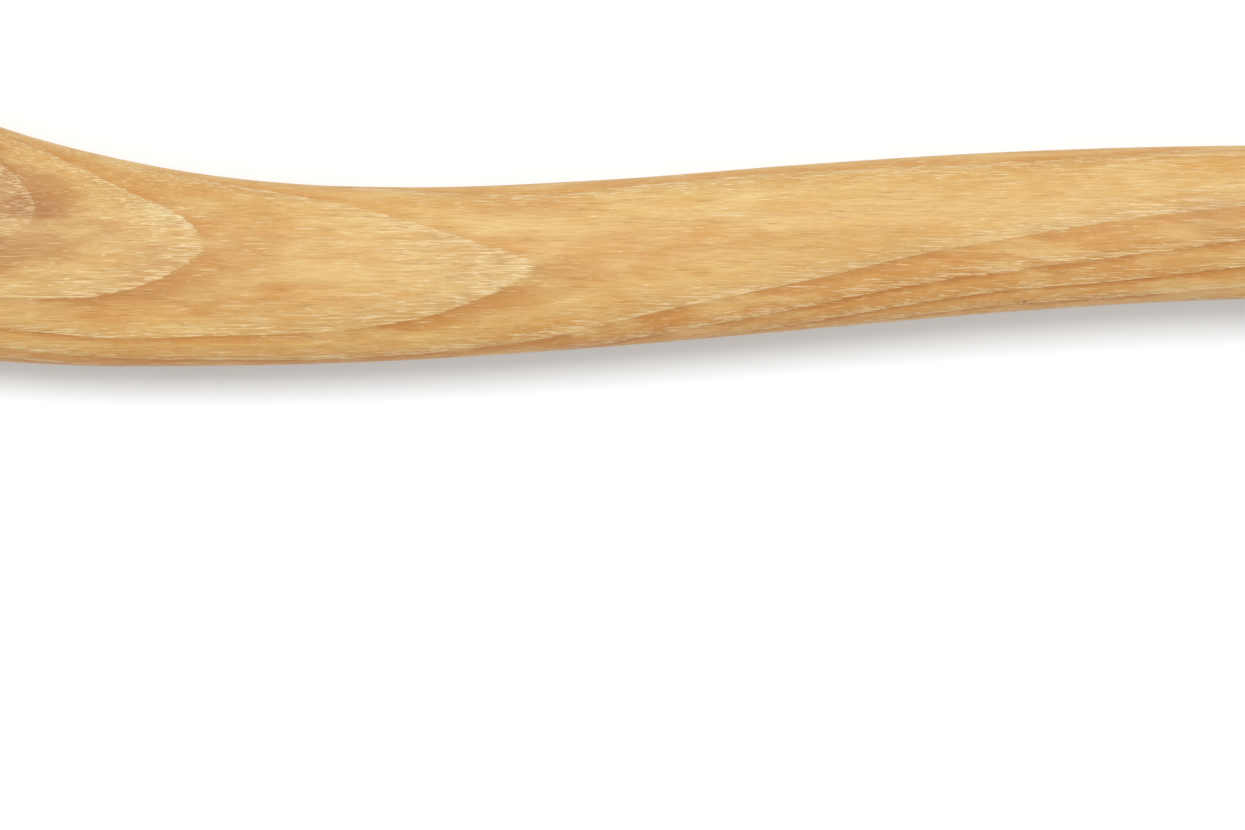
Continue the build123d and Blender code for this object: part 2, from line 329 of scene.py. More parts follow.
def coordinates(mesh):
    """The points of a mesh, in millimetres."""
    found = np.empty(len(mesh.vertices) * 3)
    mesh.vertices.foreach_get("co", found)
    return found.reshape(-1, 3) / MM


def normals(mesh):
    """Which way the surface faces at each point of a mesh."""
    found = np.empty(len(mesh.vertices) * 3)
    mesh.vertex_normals.foreach_get("vector", found)
    return found.reshape(-1, 3)


def store(mesh, name, values):
    """Keeps one number for each point of a mesh, for its material to read."""
    layer = mesh.attributes.new(name, "FLOAT", "POINT")
    layer.data.foreach_set("value", np.asarray(values, np.float32))


def move(mesh, points):
    """Puts the points of a mesh at new places, given in millimetres."""
    mesh.vertices.foreach_set("co", (points * MM).ravel())
    mesh.update()


def cut(piece, *cutters):
    """Cuts other solids out of a piece, and removes them."""
    for cutter in cutters:
        modifier = piece.modifiers.new("cut", "BOOLEAN")
        modifier.operation, modifier.object, modifier.solver = "DIFFERENCE", cutter, "EXACT"
    evaluated = piece.evaluated_get(bpy.context.evaluated_depsgraph_get())
    mesh = bpy.data.meshes.new_from_object(evaluated)
    piece.modifiers.clear()
    mesh.shade_smooth()
    mesh.set_sharp_from_angle(angle=SHARP)
    piece.data = mesh
    for cutter in cutters:
        bpy.data.objects.remove(cutter)


def lumps(points, size, seed):
    """Smooth noise from about -1 to 1 at each point, with lumps of a size in millimetres."""
    # each seed reads the noise at another place
    shift = Vector((seed * 17.3, seed * 5.1, seed * 9.7))
    return np.array([noise.noise(Vector(p) / size + shift) for p in points])


def unevenness(points, marks):
    """The relief at each point, from layers of lumps that each have a depth, a width and a seed."""
    return sum(depth * lumps(points, width, seed) for depth, width, seed in marks)


def finish_piece(piece, material, slot, *nodes):
    """Gives a piece its material and ties it to the frame."""
    piece.data.materials.clear()
    piece.data.materials.append(material)
    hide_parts(*nodes)
    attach(piece, ROOT)


# ------------------------------------------------------------------ material graphs
def linear(red, green, blue):
    """A colour given as 0 to 255 on screen, in the renderer's linear numbers."""
    return tuple((c / 12.92 if c <= 0.04045 else ((c + 0.055) / 1.055) ** 2.4)
                 for c in (red / 255, green / 255, blue / 255)) + (1.0,)


class Graph:
    """A material's nodes, made one call at a time. Each call returns the new node's output."""

    def __init__(self, name):
        self.material = bpy.data.materials.new(name)
        self.material.use_nodes = True
        self.tree = self.material.node_tree
        self.shader = self.tree.nodes["Principled BSDF"]
        here = self.add("ShaderNodeTexCoord").outputs["Object"]
        self.place = self.vector("SCALE", here, scale=1 / MM)

    def add(self, kind, **settings):
        made = self.tree.nodes.new(kind)
        for key, value in settings.items():
            setattr(made, key, value)
        return made

    def give(self, socket, value):
        """Links a socket to another node's output, or sets its value."""
        if isinstance(value, bpy.types.NodeSocket):
            self.tree.links.new(value, socket)
        elif value is not None:
            socket.default_value = value

    def vector(self, operation, first, second=None, scale=None):
        made = self.add("ShaderNodeVectorMath", operation=operation)
        self.give(made.inputs[0], first)
        self.give(made.inputs[1], second)
        if scale is not None:
            self.give(made.inputs["Scale"], scale)
        return made.outputs["Value" if operation in ("LENGTH", "DISTANCE") else "Vector"]

    def math(self, operation, first, second=None):
        made = self.add("ShaderNodeMath", operation=operation)
        self.give(made.inputs[0], first)
        self.give(made.inputs[1], second)
        return made.outputs[0]

    def number(self, name):
        """The number that a mesh keeps for each of its points."""
        return self.add("ShaderNodeAttribute", attribute_name=name).outputs["Fac"]

    def noise(self, cycles, detail=2.0, rough=0.5, shift=(0, 0, 0)):
        """Noise from 0 to 1, with its cycles per millimetre along X, Y and Z."""
        scaled = self.vector("MULTIPLY", self.place, cycles)
        made = self.add("ShaderNodeTexNoise")
        self.give(made.inputs["Vector"], self.vector("ADD", scaled, shift))
        self.give(made.inputs["Scale"], 1.0)
        self.give(made.inputs["Detail"], detail)
        self.give(made.inputs["Roughness"], rough)
        return made.outputs["Fac"]

    def swing(self, size, *how):
        """Noise about zero, as far as half a size to each side."""
        return self.math("MULTIPLY", self.math("SUBTRACT", self.noise(*how), 0.5), size)

    def remap(self, value, low, high, to_low=0.0, to_high=1.0, kind="SMOOTHSTEP"):
        """Takes low to to_low and high to to_high, and stays within them."""
        made = self.add("ShaderNodeMapRange", interpolation_type=kind)
        for name, given in (("Value", value), ("From Min", low), ("From Max", high),
                            ("To Min", to_low), ("To Max", to_high)):
            self.give(made.inputs[name], given)
        return made.outputs[0]

    def mix(self, share, first, second, blend="MIX"):
        made = self.add("ShaderNodeMix", data_type="RGBA", blend_type=blend)
        self.give(made.inputs["Factor"], share)
        self.give(made.inputs[6], first)
        self.give(made.inputs[7], second)
        return made.outputs[2]

    def tint(self, share, colour, filtered):
        """Multiplies a colour by another, as far as share says."""
        return self.mix(share, colour, self.mix(1.0, colour, filtered, "MULTIPLY"))

    def ramp(self, share, stops):
        """A run of colours, given as pairs of place and colour."""
        made = self.add("ShaderNodeValToRGB")
        points = made.color_ramp.elements
        points[0].position, points[0].color = stops[0]
        points[-1].position, points[-1].color = stops[-1]
        for place, colour in stops[1:-1]:
            points.new(place).color = colour
        self.give(made.inputs["Fac"], share)
        return made.outputs["Color"]

    def bump(self, height, depth, onto=None):
        """Small relief, with its depth in millimetres."""
        made = self.add("ShaderNodeBump")
        self.give(made.inputs["Height"], height)
        self.give(made.inputs["Strength"], 1.0)
        self.give(made.inputs["Distance"], depth * MM)
        self.give(made.inputs["Normal"], onto)
        return made.outputs["Normal"]

    def off(self, middle, reach=(1.0, 1.0, 1.0)):
        """How far a place is from a middle, counted in reaches along X, Y and Z."""
        scaled = self.vector("MULTIPLY", self.place, tuple(1 / r for r in reach))
        return self.vector("DISTANCE", scaled, tuple(m / r for m, r in zip(middle, reach)))

    def facing_along(self):
        """How squarely a surface faces along the handle: 1 on a sawn end."""
        normal = self.add("ShaderNodeNewGeometry").outputs["Normal"]
        parts = self.add("ShaderNodeSeparateXYZ")
        self.give(parts.inputs[0], normal)
        return self.math("ABSOLUTE", parts.outputs["X"])

    def finish(self, **inputs):
        """Fills the shader's sockets, each named with _ for a space, and returns the material."""
        for name, value in inputs.items():
            self.give(self.shader.inputs[name.replace("_", " ")], value)
        return self.material


def ring_bands(g, share, side):
    """Colours within a ring. Its late wood is darker, most of all where the cut meets it slantwise."""
    colour = g.ramp(share, [
        (0.0, linear(192, 157, 102)),
        (0.12, linear(196, 160, 103)),
        (0.38, linear(204, 167, 106)),
        (0.75, linear(206, 169, 107)),
        (1.0, linear(200, 155, 92)),
    ])
    slant = g.remap(side, -0.30, 0.20, 1.0, 0.18)
    late = g.math("MULTIPLY", g.remap(share, 0.68, 1.0), slant)
    colour = g.mix(late, colour, linear(184, 134, 74))
    # the late wood ends in a broken line
    breaks = g.remap(g.noise((0.03, 0.25, 0.25), 2.0, 0.5, (6.0, 1.0, 2.0)), 0.36, 0.62, 0.10, 0.70)
    line = g.math("MULTIPLY", g.math("MULTIPLY", g.remap(share, 0.93, 1.0), breaks), slant)
    return g.mix(line, colour, linear(156, 109, 60))


def ring_tints_and_poll_shade(g, colour, count, share, side):
    """Redder narrow sides, a poll side darkened partly as painted shade, redder outer rings, and browner
    rings towards the foot.
    """
    flank = g.remap(g.math("ABSOLUTE", side), 0.45, 0.95)
    colour = g.tint(flank, colour, linear(251, 240, 222))
    # partly painted shade: the poll side, away from the lamp, is made darker and warmer; the rest is the
    # wood's own redder tone there
    colour = g.tint(g.remap(side, -0.15, -0.7), colour, linear(253, 245, 235))
    outer = g.math("MULTIPLY", g.remap(count, 0.03, -0.25), g.remap(side, 0.6, 0.3, 0.3, 1.0))
    outer = g.math("MULTIPLY", outer, g.remap(count, -0.9, -2.0, 1.0, 0.5))
    colour = g.tint(outer, colour, linear(241, 221, 202))
    inner = g.math("MULTIPLY", g.remap(count, 1.0, 1.3), g.remap(share, 0.3, 0.65))
    colour = g.tint(inner, colour, linear(245, 236, 229))
    brown = g.remap(g.noise((0.05, 0.12, 0.12), 3.0, 0.6, (1.4, 9.1, 3.7)), 0.42, 0.66)
    brown = g.math("MULTIPLY", g.remap(count, 1.4, 2.4, 0.0, 0.8), brown)
    brown = g.math("MAXIMUM", g.remap(count, 2.3, 2.95, 0.0, 0.7), brown)
    colour = g.mix(brown, colour, linear(184, 138, 90))
    return g.tint(g.remap(count, 2.2, 2.75), colour, linear(239, 234, 233))


def clouds(g, colour):
    """Clouds of orange and of yellow, and faint stripes along the grain."""
    orange = g.remap(g.noise((0.06, 0.20, 0.20), 4.0, 0.6, (3.1, 0.4, 7.7)), 0.44, 0.70, 0.0, 0.75)
    colour = g.tint(orange, colour, linear(251, 234, 208))
    yellow = g.remap(g.noise((0.05, 0.16, 0.16), 3.0, 0.6, (7.3, 6.2, 2.8)), 0.46, 0.70, 0.0, 0.5)
    colour = g.mix(yellow, colour, linear(214, 184, 122))
    stripes = g.noise((0.02, 0.55, 0.55), 3.0, 0.6, (8.0, 5.0, 3.0))
    return g.mix(g.remap(stripes, 0.34, 0.58, 0.24, 0.0), colour, linear(176, 130, 74))


def pale_pores(g, share):
    """Open pores: short dashes along the grain, thickest where a ring begins."""
    least = g.remap(share, 0.0, 0.60, 0.535, 0.645, "LINEAR")
    most = g.math("ADD", least, 0.06)
    short, long = (g.remap(g.noise(cycles, 2.0, 0.5, shift), least, most) for cycles, shift in (
        ((0.24, 3.7, 3.7), (1.0, 8.0, 4.0)),
        ((0.085, 3.5, 3.5), (4.0, 8.0, 4.0)),
    ))
    return g.math("MAXIMUM", short, long)


def marks(g, colour):
    """Browner and paler places, a pin knot and a faint eye."""
    blur = g.swing(1.2, (0.07, 0.25, 0.25), 3.0, 0.6, (2.2, 7.1, 4.4))
    for middle, reach, filtered in STAINS:
        off = g.math("ADD", g.off(on_handle(*middle), reach), blur)
        colour = g.tint(g.remap(off, 0.3, 1.3, 1.0, 0.0), colour, (*filtered, 1.0))
    knot = g.off(on_handle(*PIN_KNOT), (1.4, 1.0, 1.0))
    colour = g.mix(g.remap(knot, 0.15, 0.55, 0.75, 0.0), colour, linear(92, 58, 34))
    eye = g.off(on_handle(*FAINT_EYE))
    return g.mix(g.remap(eye, 0.5, 1.7, 0.35, 0.0), colour, linear(184, 140, 72))


def hickory():
    """Oiled hickory. Its mesh keeps each point's count of growth rings and its place across the handle."""
    g = Graph("hickory")
    side = g.number("side")
    # the rings are wavy along the grain, and ragged where fibres end
    wave = g.swing(0.05, (0.02, 0.11, 0.11), 1.0)
    ragged = g.swing(0.085, (0.16, 2.4, 2.4), 3.0, 0.65)
    count = g.math("ADD", g.math("ADD", g.number("ring"), wave), ragged)
    share = g.math("FRACT", count)
    colour = ring_bands(g, share, side)
    colour = ring_tints_and_poll_shade(g, colour, count, share, side)
    colour = clouds(g, colour)
    # the short run of the fibres
    fibre = g.noise((0.15, 2.3, 2.3), 4.0, 0.7, (5.0, 2.0, 1.0))
    colour = g.mix(g.remap(fibre, 0.32, 0.56, 0.34, 0.0), colour, linear(176, 128, 72))
    colour = g.mix(g.remap(fibre, 0.52, 0.70, 0.0, 0.22), colour, linear(230, 200, 148))
    # open pores, most of them pale and a few dark
    pale = pale_pores(g, share)
    colour = g.mix(g.math("MULTIPLY", pale, 0.50), colour, linear(232, 210, 166))
    dark = g.remap(g.noise((0.16, 2.9, 2.9), 2.0, 0.55, (9.0, 3.0, 6.0)), 0.62, 0.70)
    colour = g.mix(g.math("MULTIPLY", dark, 0.40), colour, linear(142, 98, 54))
    colour = marks(g, colour)
    # sawn ends are darker
    ends = g.remap(g.facing_along(), 0.55, 0.9)
    colour = g.tint(g.math("MULTIPLY", ends, 0.75), colour, linear(205, 178, 150))
    relief = g.math("SUBTRACT", fibre, g.math("MULTIPLY", pale, 0.5))
    return g.finish(Base_Color=colour, Roughness=g.remap(fibre, 0.3, 0.7, 0.58, 0.48, "LINEAR"),
                    Normal=g.bump(relief, 0.04), Specular_IOR_Level=0.22)


def pale_wood():
    """The wooden wedge's close, pale wood."""
    g = Graph("pale_wood")
    fibre = g.noise((0.05, 1.2, 2.2), 4.0, 0.65)
    colour = g.ramp(fibre, [(0.3, linear(196, 160, 112)), (0.7, linear(232, 206, 160))])
    pores = g.remap(g.noise((0.3, 4.0, 4.0), 1.0, 0.5, (4, 4, 4)), 0.62, 0.70)
    colour = g.mix(g.math("MULTIPLY", pores, 0.5), colour, linear(140, 100, 62))
    return g.finish(Base_Color=colour, Roughness=0.62, Normal=g.bump(fibre, 0.06))


def forged_steel():
    """Dark forging scale, with the bevels and the poll face ground bright and the corners worn."""
    g = Graph("forged_steel")
    patches = g.noise((0.045, 0.045, 0.045), 5.0, 0.6)
    grain = g.noise((0.9, 0.9, 0.9), 4.0, 0.7)
    scale = g.ramp(patches, [
        (0.32, linear(66, 69, 74)),
        (0.5, linear(84, 87, 92)),
        (0.68, linear(104, 105, 108)),
    ])
    scale = g.mix(g.remap(grain, 0.42, 0.68, 0.0, 0.45), scale, linear(52, 53, 58))
    pits = g.remap(g.noise((0.55, 0.55, 0.55), 2.0, 0.5, (7, 1, 3)), 0.66, 0.76)
    scale = g.mix(g.math("MULTIPLY", pits, 0.4), scale, linear(44, 42, 44))
    lines = g.noise((3.2, 0.05, 0.4), 3.0, 0.7)
    bright = g.ramp(lines, [(0.3, linear(150, 150, 152)), (0.7, linear(206, 206, 207))])
    uneven = g.math("SUBTRACT", g.noise((0.5, 0.5, 0.5), 3.0), 0.5)
    ground = g.remap(g.math("ADD", g.number("ground"), g.math("MULTIPLY", uneven, 0.25)), -0.04, 0.04)
    worn = g.math("ADD", g.number("corner"), g.math("MULTIPLY", uneven, 0.15))
    worn = g.remap(worn, 0.16, 0.32, 0.0, 0.6)
    bare = g.math("MAXIMUM", ground, worn)
    colour = g.mix(bare, scale, bright)
    covered = g.math("SUBTRACT", 1.0, bare)
    dull = g.math("ADD", g.remap(patches, 0.3, 0.7, 0.38, 0.52, "LINEAR"),
                  g.math("MULTIPLY", g.math("SUBTRACT", grain, 0.5), 0.2))
    shiny = g.remap(lines, 0.3, 0.7, 0.34, 0.22, "LINEAR")
    rough = g.math("ADD", g.math("MULTIPLY", dull, covered), g.math("MULTIPLY", shiny, bare))
    rugged = g.math("MULTIPLY", g.math("SUBTRACT", grain, g.math("MULTIPLY", pits, 0.6)), covered)
    normal = g.bump(rugged, 0.10)
    normal = g.bump(g.math("MULTIPLY", lines, bare), 0.025, normal)
    return g.finish(Base_Color=colour, Metallic=0.92, Roughness=rough, Normal=normal)


def sheet_steel():
    """Rolled sheet, with faint lines along the sleeve, a few scratches and heat colours beside the weld."""
    g = Graph("sheet_steel")
    lines = g.noise((0.05, 1.9, 1.9), 4.0, 0.7)
    smears = g.noise((0.03, 0.06, 0.06), 4.0, 0.6, (2, 5, 1))
    colour = g.ramp(lines, [(0.3, linear(146, 148, 151)), (0.7, linear(186, 188, 190))])
    colour = g.mix(g.remap(smears, 0.45, 0.7, 0.0, 0.45), colour, linear(136, 136, 138))
    heat = g.remap(g.number("weld"), 0.05, 0.8, 0.0, 0.7)
    colour = g.mix(heat, colour, linear(112, 98, 88))
    along = g.remap(g.noise((0.045, 3.4, 3.4), 1.0, 0.5, (3, 3, 3)), 0.70, 0.76)
    across = g.remap(g.noise((3.6, 0.09, 0.09), 1.0, 0.5, (5, 1, 8)), 0.74, 0.79)
    scratch = g.math("MAXIMUM", along, across)
    colour = g.mix(g.math("MULTIPLY", scratch, 0.45), colour, linear(216, 216, 217))
    rough = g.remap(smears, 0.3, 0.7, 0.38, 0.52, "LINEAR")
    relief = g.math("SUBTRACT", lines, g.math("MULTIPLY", scratch, 0.5))
    return g.finish(Base_Color=colour, Metallic=1.0, Roughness=rough, Normal=g.bump(relief, 0.03))


def plain_steel(name, dark, light, rough):
    """Bare steel with a fine grain between two colours."""
    g = Graph(name)
    grain = g.noise((1.2, 1.2, 1.2), 4.0, 0.65)
    colour = g.ramp(grain, [(0.32, dark), (0.68, light)])
    spread = g.remap(grain, 0.3, 0.7, rough - 0.06, rough + 0.08, "LINEAR")
    return g.finish(Base_Color=colour, Metallic=1.0, Roughness=spread, Normal=g.bump(grain, 0.03))


# ------------------------------------------------------------------ handle
HANDLE_ROUND = 120  # points round it
HANDLE_STEP = 1.25  # between its rings
TENON_STEP = 2.0  # between the rings of its tenon
FOOT_STEPS = 11  # over the rounding of its foot
END_STEPS = 14  # from the rims of its ends to their middles
SHOULDER_BEVEL = 0.3
TENON_BEVEL = 0.5
KERF_ROOM = 0.05  # between the wooden wedge and the kerf at the top
RING_ROUND = 96  # points round the ring wedge's mark


def handle_rings():
    """Outlines of the handle, from its rounded foot over its shoulder to the top of the tenon."""
    first, last = HANDLE_STATIONS[0, 0], HANDLE_STATIONS[-1, 0]
    rings = []
    for angle in np.linspace(0, math.pi / 2, FOOT_STEPS, endpoint=False):
        inward = FOOT_ROUND * (1 - math.sin(angle))
        along = FOOT_ROUND * (1 - math.cos(angle))
        rings.append(handle_ring(first + along, -inward, HANDLE_ROUND))
    for distance in np.arange(first + FOOT_ROUND, last, HANDLE_STEP):
        rings.append(handle_ring(distance, 0.0, HANDLE_ROUND))
    rings.append(handle_ring(last - SHOULDER_BEVEL, 0.0, HANDLE_ROUND))
    rings.append(handle_ring(last, -SHOULDER_BEVEL, HANDLE_ROUND))
    # the shoulder is flat, so the tenon's first ring lies in its plane
    root = tenon_ring(0.0, 0.0, HANDLE_ROUND)
    rings.append(root - (HEAD_UNDER_X - FOOT_X - last, 0, 0))
    top = HEAD_HEIGHT + TENON_STAND
    for height in np.arange(TENON_STEP / 2, top - TENON_BEVEL, TENON_STEP):
        rings.append(tenon_ring(height, 0.0, HANDLE_ROUND))
    rings.append(tenon_ring(top - TENON_BEVEL, 0.0, HANDLE_ROUND))
    rings.append(tenon_ring(top, -TENON_BEVEL, HANDLE_ROUND))
    return rings


def kerf_cutter():
    """The space of the wooden wedge and of the saw cut below it."""
    wide = HEAD_LENGTH / 4  # well past the tenon on both sides
    outline = [
        (TENON_TOP_X + OVERSHOOT, WEDGE_TOP / 2 + KERF_ROOM),
        (TENON_TOP_X - WEDGE_LENGTH, WEDGE_TIP / 2),
        (TENON_TOP_X - WEDGE_LENGTH - KERF_SPARE, WEDGE_TIP / 2),
    ]
    outline += [(x, -z) for x, z in reversed(outline)]
    points = np.array([(x, EYE_Y + side, MID_Z + z) for side in (-wide, wide) for x, z in outline])
    count = len(outline)
    faces = [tuple(range(count)), tuple(range(2 * count - 1, count - 1, -1))]
    faces += [(j, (j + 1) % count, count + (j + 1) % count, count + j) for j in range(count)]
    return make_object("kerf_cutter", points, faces)


def ring_cutter():
    """The space of the ring wedge and of the mark that it leaves above it."""
    above = TENON_TOP_X + OVERSHOOT
    tip = RING_RADIUS - RING_WALL / 3
    bore = RING_RADIUS - RING_WALL
    outline = [(above, RING_RADIUS), (RING_TOP_X, RING_RADIUS), (RING_LOW_X, tip),
               (RING_LOW_X, tip - RING_EDGE), (RING_TOP_X, bore), (above, bore)]
    across, up = circle(RING_ROUND)
    rows = np.array([
        np.stack([np.full(RING_ROUND, x), EYE_Y + radius * across, MID_Z + radius * up], axis=1)
        for x, radius in outline
    ])
    return make_object("ring_cutter", rows.reshape(-1, 3), walls(rows, closed=True))


def build_handle(material):
    handle = closed_tube("hickory_handle", handle_rings(), END_STEPS)
    cut(handle, kerf_cutter(), ring_cutter())
    points = coordinates(handle.data)
    store(handle.data, "ring", ring_count(points))
    store(handle.data, "side", side_share(points))
    finish_piece(handle, material, "hickory", "handle")
    return handle


# ------------------------------------------------------------------ head
SIDE_POINTS = 60  # along each side of the head's section
CORNER_POINTS = 14  # round each of its corners
CROWDING = 1.3  # above 1, its cheeks' points crowd towards the corners
HEAD_STEP = 0.9  # between its sections
BIT_STEP = 0.35  # between them along the bit
BIT_FROM = 148.0  # where the bit begins, from the poll face
SWEEP_FROM = 100.0  # where the sections begin to curve with the edge, from the poll face
CROWN_STEPS = 4  # over the crown of the poll face
FACE_STEPS = 20  # from the middle of the poll face to its rim
BIT_X = HEAD_MID_X - BIT_DROP  # middle of the edge
SWEEP_Y = EDGE_Y - EDGE_RADIUS  # centre of the edge's sweep
EYE_ROUND = 144  # points round the eye
EYE_PLAY = 0.1  # round the tenon
FORGE_MARKS = [(0.22, 17.0, 1), (0.10, 6.0, 2), (0.035, 2.2, 3)]  # depth, width and seed
FORGE_BASE = 0.12  # how far the marks lie inside the forging's outline


def box_outline(height, thickness, corner):
    """Points round a rectangle with round corners, from the middle of its +X side: X and Z offsets."""
    flat_x, flat_z = height / 2 - corner, thickness / 2 - corner
    half = np.linspace(0, 1, SIDE_POINTS // 2, endpoint=False)
    turn = np.linspace(0, math.pi / 2, CORNER_POINTS, endpoint=False)
    x = [np.full(len(half), height / 2), flat_x + corner * np.cos(turn), flat_x * (1 - half**CROWDING)]
    z = [flat_z * half, flat_z + corner * np.sin(turn), np.full(len(half), thickness / 2)]
    x, z = np.concatenate(x), np.concatenate(z)
    x = np.concatenate([x, [0.0], -x[:0:-1]])
    z = np.concatenate([z, [thickness / 2], z[:0:-1]])
    return np.concatenate([x, [-height / 2], x[:0:-1]]), np.concatenate([z, [0.0], -z[:0:-1]])


def edge_y(x):
    """Where the head ends, along the swept edge and round the heel and toe."""
    off = np.minimum(np.abs(x - BIT_X), BIT_HEIGHT / 2)
    flat = BIT_HEIGHT / 2 - BIT_CORNER
    centre = SWEEP_Y + math.sqrt((EDGE_RADIUS - BIT_CORNER) ** 2 - flat**2)
    tangent = flat * EDGE_RADIUS / (EDGE_RADIUS - BIT_CORNER)
    sweep = SWEEP_Y + np.sqrt(EDGE_RADIUS**2 - off**2)
    corner = centre + np.sqrt(np.maximum(BIT_CORNER**2 - np.maximum(off - flat, 0) ** 2, 0))
    return np.where(off > tangent, corner, sweep)


def set_back():
    """How far short of the foremost point of the edge each point of the outline ends."""
    height, thickness, corner, drop = sizes(HEAD_STATIONS, HEAD_LENGTH)
    x, _ = box_outline(height, thickness, corner)
    return EDGE_Y - edge_y(x + HEAD_MID_X - drop)


def head_section(along):
    """The outline at a distance from the poll face, and how much was ground off at each of its points."""
    height, thickness, corner, drop = sizes(HEAD_STATIONS, along)
    crown = max(POLL_CROWN - along, 0.0)
    x, z = box_outline(height - 2 * crown, thickness - 2 * crown, corner)
    # the poll's corners are cut at 45 degrees
    limit = math.sqrt(2) * (POLL_CORNER + POLL_FLARE * along - crown)
    over = np.maximum(np.abs(x) + np.abs(z) - limit, 0) / 2
    x, z = x - np.sign(x) * over, z - np.sign(z) * over
    x = x + HEAD_MID_X - drop
    trimmed = np.abs(x - BIT_X) - BIT_HEIGHT / 2
    x = np.clip(x, BIT_X - BIT_HEIGHT / 2, BIT_X + BIT_HEIGHT / 2)
    y = POLL_Y + along - set_back() * float(step(SWEEP_FROM, HEAD_LENGTH, along))
    radius = np.hypot(x - BIT_X, y - SWEEP_Y)
    most = EDGE_BLUNT / 2 + (EDGE_RADIUS - radius) * math.tan(math.radians(BEVEL_ANGLE))
    bevelled = np.where(y > EYE_Y, np.abs(z) - most, -1.0)
    polled = np.full(len(x), POLL_CROWN - along)
    ground = np.clip(np.maximum.reduce([bevelled, trimmed, polled]), -1, 1)
    z = np.clip(z, -most, most)
    return np.stack([x, y, MID_Z + z], axis=1), ground


def eye_cutter():
    """The handle's way through the head, flared at both mouths."""
    mouth = [(-3 * EYE_LIP, 4 * EYE_LIP), (-EYE_LIP, 2 * EYE_LIP), (0.0, EYE_LIP), (EYE_LIP, EYE_PLAY)]
    middle = [(height, EYE_PLAY) for height in (12.0, 28.0, 44.0)]
    other_mouth = [(HEAD_HEIGHT - height, grow) for height, grow in reversed(mouth)]
    rings = []
    for height, grow in mouth + middle + other_mouth:
        ring = tenon_ring(float(np.clip(height, 0, HEAD_HEIGHT)), grow, EYE_ROUND)
        ring[:, 0] = HEAD_UNDER_X + height
        rings.append(ring)
    return closed_tube("eye_cutter", rings)


def convexity(mesh):
    """How sharply the surface bends outwards at each point of a mesh."""
    points, outward = coordinates(mesh), normals(mesh)
    pairs = np.empty(len(mesh.edges) * 2, int)
    mesh.edges.foreach_get("vertices", pairs)
    a, b = pairs.reshape(-1, 2).T
    along = points[a] - points[b]
    length = np.linalg.norm(along, axis=1) + 1e-9
    total, seen = np.zeros(len(points)), np.zeros(len(points))
    for one, sign in ((a, 1), (b, -1)):
        np.add.at(total, one, sign * np.einsum("ij,ij->i", along, outward[one]) / length)
        np.add.at(seen, one, 1)
    return total / np.maximum(seen, 1)


def head_places():
    """Where the head's sections are, from the poll face. They are closest along its crown and the bit."""
    return np.concatenate([
        np.linspace(0, POLL_CROWN, CROWN_STEPS, endpoint=False),
        np.linspace(POLL_CROWN, BIT_FROM, round((BIT_FROM - POLL_CROWN) / HEAD_STEP), endpoint=False),
        np.linspace(BIT_FROM, HEAD_LENGTH, round((HEAD_LENGTH - BIT_FROM) / BIT_STEP)),
    ])


def edge_faces(base, count):
    """The blunt edge: faces from each upper point of the last section to the lower point across from it."""
    half = count // 2
    faces = [(base + j, base + j + 1, base + count - j - 1, base + count - j) for j in range(1, half - 1)]
    return faces + [(base, base + 1, base + count - 1), (base + half - 1, base + half, base + half + 1)]


def hammer(mesh, ground):
    """Presses the marks of forging into the unground surface."""
    points, outward = coordinates(mesh), normals(mesh)
    raised = (unevenness(points, FORGE_MARKS) - FORGE_BASE) * step(0.0, 1.0, -ground)
    move(mesh, points + outward * raised[:, None])


def build_head(material):
    sections = [head_section(along) for along in head_places()]
    rows = np.array([outline for outline, _ in sections])
    face = np.array(shrinking(rows[0], FACE_STEPS)[::-1])
    all_rows = np.concatenate([face, rows])
    count = rows.shape[1]
    points = np.concatenate([all_rows.reshape(-1, 3), rows[0].mean(axis=0)[None]])
    faces = walls(all_rows)
    faces += [((j + 1) % count, j, len(points) - 1) for j in range(count)]
    faces += edge_faces((len(all_rows) - 1) * count, count)
    head = make_object("forged_head", points, faces)
    marked = np.concatenate([mark for _, mark in sections])
    ground = np.concatenate([np.ones(len(face) * count), marked, [1.0]])
    store(head.data, "ground", ground)
    hammer(head.data, ground)
    cut(head, eye_cutter())
    store(head.data, "corner", convexity(head.data))
    finish_piece(head, material, "forged_steel", "maul_head")
    return head


# ------------------------------------------------------------------ guard collar
COLLAR_ROUND = 288  # points round it
COLLAR_ROOM = 0.02  # between it and the handle
RIM_POINTS = 9  # over each of its round rims
COLLAR_MARKS = [(0.05, 14.0, 5)]  # depth, width and seed
BEAD_HEIGHT = 0.38  # of the weld
BEAD_REACH = 1.5  # across it
BEAD_RIPPLE = 0.28  # share of its height
BEAD_PITCH = 1.9  # from ripple to ripple
HEAT_REACH = 3.2  # of the heat colours beside the bead
SEAT_ROUND = 48  # points round a screw's seat
HEAD_ROOM = 0.25  # round a screw's head
CREST_ROOM = 0.15  # round its thread


def screw_seat(side):
    """The countersunk hole of a screw through the collar, on its upper or lower side."""
    surface = SCREW_TOP_Z - SCREW_DOME - MID_Z
    wide, narrow = SCREW_HEAD / 2 + HEAD_ROOM, SCREW_CREST / 2 + CREST_ROOM
    along, across = circle(SEAT_ROUND)
    rings = [np.stack([SCREW_X + radius * along, SCREW_Y + radius * across,
                       np.full(SEAT_ROUND, MID_Z + side * (surface + up))], axis=1)
             for radius, up in ((wide, 2 * SCREW_SINK), (wide, 0.0), (narrow, -SCREW_SINK),
                                (narrow, -2 * SCREW_SINK))]
    return closed_tube("screw_seat", rings)


